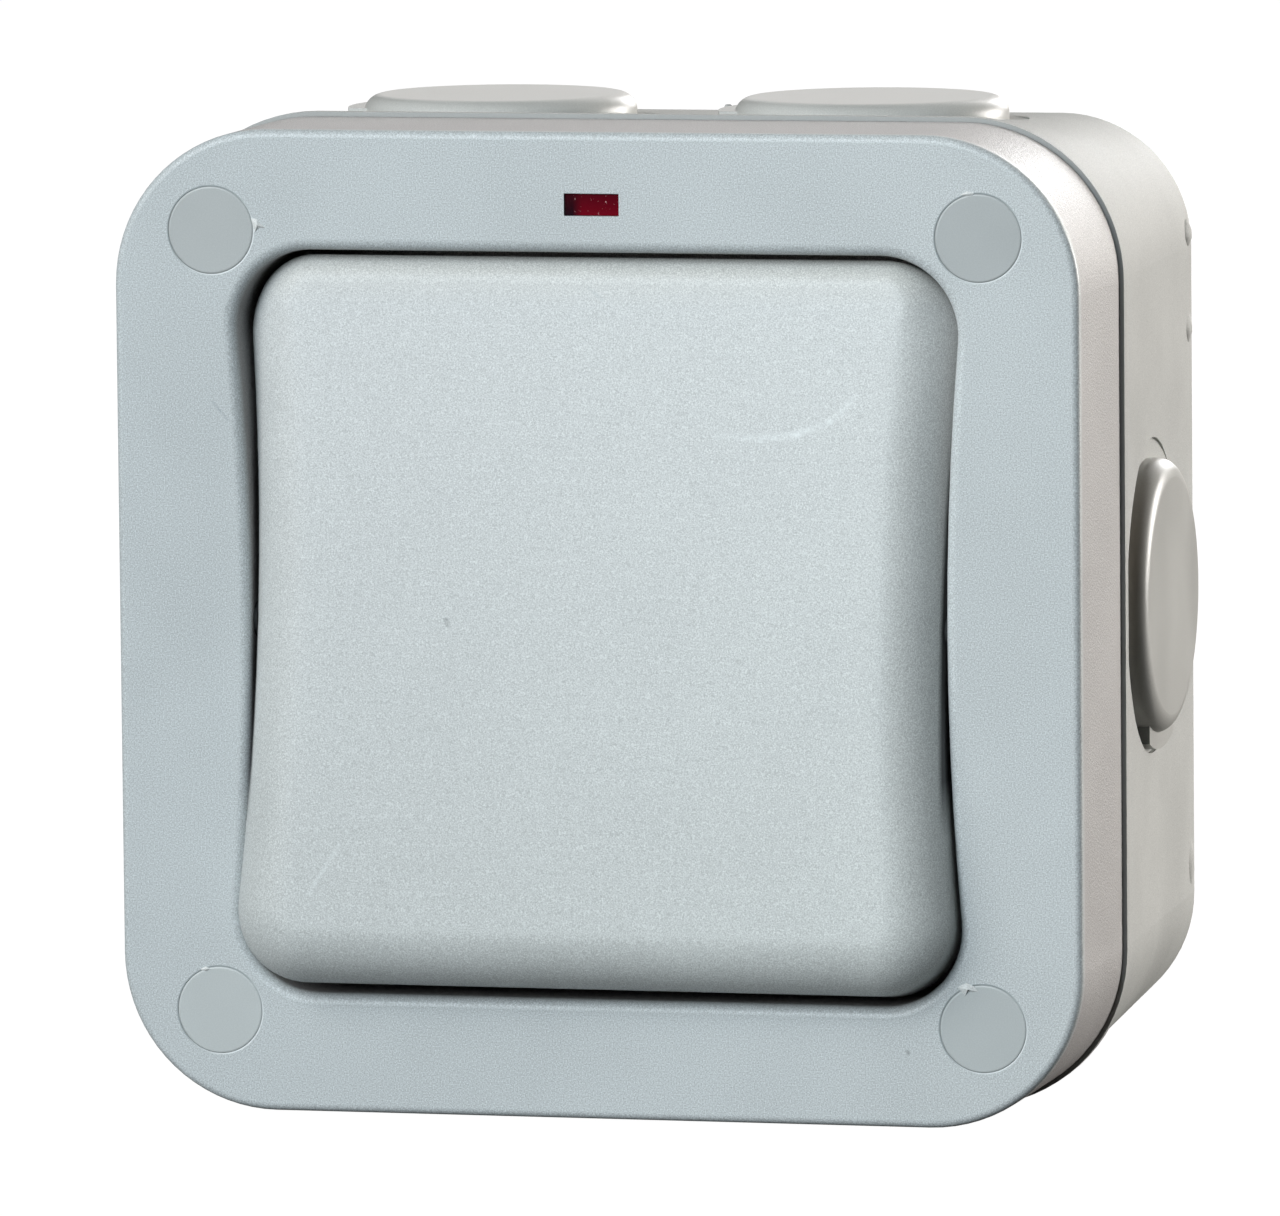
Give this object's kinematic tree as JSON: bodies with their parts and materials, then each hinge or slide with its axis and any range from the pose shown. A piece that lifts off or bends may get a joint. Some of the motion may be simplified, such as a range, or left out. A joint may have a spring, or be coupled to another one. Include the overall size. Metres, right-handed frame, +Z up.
{
  "type": "weatherproof rocker light switch",
  "caption": "Surface mounted weatherproof light switch: drafted square box with plugged conduit entries, screwed cover, wide waisted rocker in a sealed well and a small red indicator.",
  "frame": {"origin": "centre of the flat back face that lies on the wall", "axes": "+Y into the wall, square to the back face; +Z up; +X to the right as the user sees the switch"},
  "size_m": [0.09, 0.0638, 0.0894],
  "materials": {
    "cover_plastic": "fine spark eroded grain",
    "rocker_plastic": "fine spark eroded grain",
    "box_plastic": "satin",
    "cap_plastic": "satin",
    "plug_plastic": "satin",
    "ring_plastic": "satin",
    "boot_rubber": "matte",
    "gasket_rubber": "matte",
    "screw_steel": "zinc plated",
    "spring_steel": "drawn wire",
    "insert_brass": "turned",
    "contact_brass": "stamped",
    "lens_red": "clear red, polished",
    "lamp_glass": "clear",
    "mech_plastic": "moulded",
    "dolly_plastic": "moulded"
  },
  "bodies": {
    "switch": {"back_box": "box_plastic", "front_cover": "cover_plastic", "rocker_boot": "boot_rubber", "boot_retainer": "ring_plastic", "cover_gasket": "gasket_rubber", "cover_screws": "screw_steel", "screw_inserts": "insert_brass", "cap_top_left": "cap_plastic", "cap_top_right": "cap_plastic", "cap_bottom_left": "cap_plastic", "cap_bottom_right": "cap_plastic", "plug_top_left": "plug_plastic", "plug_top_right": "plug_plastic", "plug_left": "plug_plastic", "plug_right": "plug_plastic", "indicator_lens": "lens_red", "neon_lamp": "lamp_glass", "mechanism_housing": "mech_plastic", "terminal_common": "contact_brass", "terminal_top": "contact_brass", "terminal_bottom": "contact_brass", "terminal_screws": "screw_steel", "mechanism_screws": "screw_steel", "earth_terminal": "insert_brass", "earth_screw": "screw_steel"},
    "rocker": {"rocker": "rocker_plastic"},
    "dolly": {"dolly": "dolly_plastic", "dolly_spring": "spring_steel", "dolly_plunger": "dolly_plastic"},
    "contact": {"moving_contact": "contact_brass"}
  },
  "joints": [
    {"name": "rocker_tilt", "type": "hinge", "parent": "switch", "child": "rocker", "pos_m": [0, -0.0552, 0], "axis": [1, 0, 0], "range_deg": [0, 16], "deforming": ["rocker_boot"]},
    {"name": "dolly_rock", "type": "hinge", "parent": "switch", "child": "dolly", "pos_m": [0, -0.039, 0], "axis": [1, 0, 0], "range_deg": [-28.1, 0]},
    {"name": "contact_rock", "type": "hinge", "parent": "switch", "child": "contact", "pos_m": [0, -0.0292, 0], "axis": [1, 0, 0], "range_deg": [0, 16]}
  ],
  "couplings": [
    {"joint": "dolly_rock", "follows": "rocker_tilt", "ratio": -1.754},
    {"joint": "contact_rock", "follows": "rocker_tilt", "ratio": 1}
  ]
}
